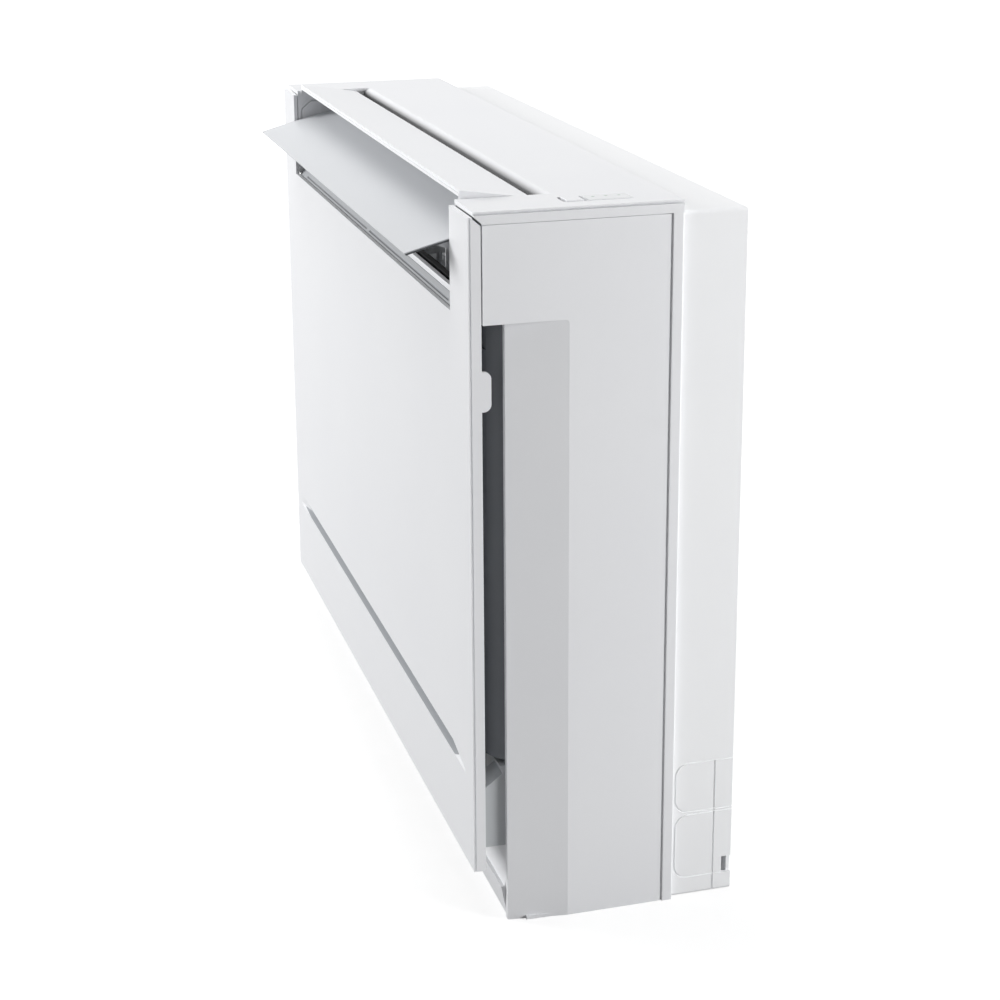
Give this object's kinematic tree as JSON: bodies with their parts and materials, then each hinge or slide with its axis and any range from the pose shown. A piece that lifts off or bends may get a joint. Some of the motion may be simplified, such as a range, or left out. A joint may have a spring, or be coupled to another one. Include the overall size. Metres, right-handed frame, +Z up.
{
  "type": "floor standing air conditioner",
  "caption": "Slim floor console of an air conditioner, with a plain front panel, an outlet flap standing open over its vanes, and a tilted visor on top.",
  "frame": {"origin": "on the floor, half way across the width and half way from the front panel's face to the wall", "axes": "+X to the right seen from the front, -Y towards the room, +Z up"},
  "size_m": [0.75, 0.2623, 0.6065],
  "materials": {
    "white_plastic": "satin",
    "duct_plastic": "matt",
    "inner_plastic": "matt",
    "filter_plastic": "matt",
    "fan_plastic": "satin",
    "pan_foam": "matt",
    "fin_aluminium": "satin",
    "zinc_steel": "satin",
    "screw_steel": "satin",
    "motor_paint": "satin",
    "copper": "satin",
    "brass": "satin",
    "rubber": "matt",
    "board": "satin",
    "dark_plastic": "matt",
    "window_plastic": "gloss",
    "lamp_plastic": "gloss"
  },
  "bodies": {
    "casing": {"front_casing": "white_plastic", "chassis": "white_plastic", "base_apron": "white_plastic", "hinge_blocks": "duct_plastic", "outlet_ledge": "white_plastic", "upper_duct": "duct_plastic", "intake_grille": "duct_plastic", "lower_duct": "duct_plastic", "fan_shroud": "inner_plastic", "fan_guides": "inner_plastic", "fan_motor": "motor_paint", "motor_bushes": "rubber", "draught_strip": "rubber", "motor_bracket": "zinc_steel", "filter_left": "filter_plastic", "filter_right": "filter_plastic", "grille_screws": "screw_steel", "room_sensor": "dark_plastic", "coil_fins": "fin_aluminium", "coil_plates": "zinc_steel", "coil_bends": "copper", "coil_pipes": "copper", "pipe_unions": "brass", "drain_pan": "pan_foam", "drain_spigot": "dark_plastic", "control_box": "zinc_steel", "box_cover": "zinc_steel", "circuit_board": "board", "display_board": "board", "terminal_block": "dark_plastic", "cord_gland": "rubber", "vane_motors": "motor_paint", "flap_motor": "motor_paint", "shutter_motor": "motor_paint", "indicator_window": "window_plastic", "indicator_lamps": "lamp_plastic"},
    "flap": {"outlet_flap": "white_plastic"},
    "visor": {"top_visor": "white_plastic"},
    "panel": {"front_panel": "white_plastic"},
    "fan": {"fan_wheel": "fan_plastic", "fan_shaft": "screw_steel", "fan_nut": "screw_steel"},
    "shutter": {"lower_shutter": "duct_plastic"},
    "button": {"power_button": "white_plastic"},
    "link_left": {"vane_link_left": "duct_plastic"},
    "vane_left_1": {"vane_left_1": "duct_plastic"},
    "vane_left_2": {"vane_left_2": "duct_plastic"},
    "vane_left_3": {"vane_left_3": "duct_plastic"},
    "vane_left_4": {"vane_left_4": "duct_plastic"},
    "link_right": {"vane_link_right": "duct_plastic"},
    "vane_right_1": {"vane_right_1": "duct_plastic"},
    "vane_right_2": {"vane_right_2": "duct_plastic"},
    "vane_right_3": {"vane_right_3": "duct_plastic"},
    "vane_right_4": {"vane_right_4": "duct_plastic"}
  },
  "joints": [
    {"name": "flap_swing", "type": "hinge", "parent": "casing", "child": "flap", "pos_m": [0, -0.1027, 0.5608], "axis": [1, 0, 0], "range_deg": [-10, 75]},
    {"name": "visor_tilt", "type": "hinge", "parent": "casing", "child": "visor", "pos_m": [0, -0.063, 0.5925], "axis": [1, 0, 0], "range_deg": [-1.2, 8.8]},
    {"name": "panel_swing", "type": "hinge", "parent": "casing", "child": "panel", "pos_m": [0, -0.096, 0.08], "axis": [1, 0, 0], "range_deg": [0, 30]},
    {"name": "fan_spin", "type": "hinge", "parent": "casing", "child": "fan", "pos_m": [-0.025, 0, 0.2999], "axis": [0, 1, 0], "continuous": true},
    {"name": "shutter_swing", "type": "hinge", "parent": "casing", "child": "shutter", "pos_m": [0, -0.065, 0.105], "axis": [1, 0, 0], "range_deg": [0, 70]},
    {"name": "button_press", "type": "slide", "parent": "casing", "child": "button", "axis": [0, 0, -1], "range_m": [0, 0.001], "stiffness_N_per_m": 1500, "springref_m": -0.0004},
    {"name": "vane_left_1_turn", "type": "hinge", "parent": "casing", "child": "vane_left_1", "pos_m": [-0.045, -0.07, 0.508], "axis": [0, 0, 1], "range_deg": [-25, 25]},
    {"name": "vane_left_2_turn", "type": "hinge", "parent": "casing", "child": "vane_left_2", "pos_m": [-0.119, -0.07, 0.508], "axis": [0, 0, 1], "range_deg": [-25, 25]},
    {"name": "vane_left_3_turn", "type": "hinge", "parent": "casing", "child": "vane_left_3", "pos_m": [-0.193, -0.07, 0.508], "axis": [0, 0, 1], "range_deg": [-25, 25]},
    {"name": "vane_left_4_turn", "type": "hinge", "parent": "casing", "child": "vane_left_4", "pos_m": [-0.267, -0.07, 0.508], "axis": [0, 0, 1], "range_deg": [-25, 25]},
    {"name": "link_left_slide", "type": "slide", "parent": "casing", "child": "link_left", "axis": [1, 0, 0], "range_m": [-0.0046, 0.0046]},
    {"name": "vane_right_1_turn", "type": "hinge", "parent": "casing", "child": "vane_right_1", "pos_m": [0.045, -0.07, 0.508], "axis": [0, 0, 1], "range_deg": [-25, 25]},
    {"name": "vane_right_2_turn", "type": "hinge", "parent": "casing", "child": "vane_right_2", "pos_m": [0.119, -0.07, 0.508], "axis": [0, 0, 1], "range_deg": [-25, 25]},
    {"name": "vane_right_3_turn", "type": "hinge", "parent": "casing", "child": "vane_right_3", "pos_m": [0.193, -0.07, 0.508], "axis": [0, 0, 1], "range_deg": [-25, 25]},
    {"name": "vane_right_4_turn", "type": "hinge", "parent": "casing", "child": "vane_right_4", "pos_m": [0.267, -0.07, 0.508], "axis": [0, 0, 1], "range_deg": [-25, 25]},
    {"name": "link_right_slide", "type": "slide", "parent": "casing", "child": "link_right", "axis": [1, 0, 0], "range_m": [-0.0046, 0.0046]}
  ],
  "couplings": [
    {"joint": "visor_tilt", "follows": "flap_swing", "ratio": 0.11667},
    {"joint": "vane_left_2_turn", "follows": "vane_left_1_turn", "ratio": 1},
    {"joint": "vane_left_3_turn", "follows": "vane_left_1_turn", "ratio": 1},
    {"joint": "vane_left_4_turn", "follows": "vane_left_1_turn", "ratio": 1},
    {"joint": "link_left_slide", "follows": "vane_left_1_turn", "m_per_rad": -0.0105},
    {"joint": "vane_right_2_turn", "follows": "vane_right_1_turn", "ratio": 1},
    {"joint": "vane_right_3_turn", "follows": "vane_right_1_turn", "ratio": 1},
    {"joint": "vane_right_4_turn", "follows": "vane_right_1_turn", "ratio": 1},
    {"joint": "link_right_slide", "follows": "vane_right_1_turn", "m_per_rad": -0.0105}
  ]
}
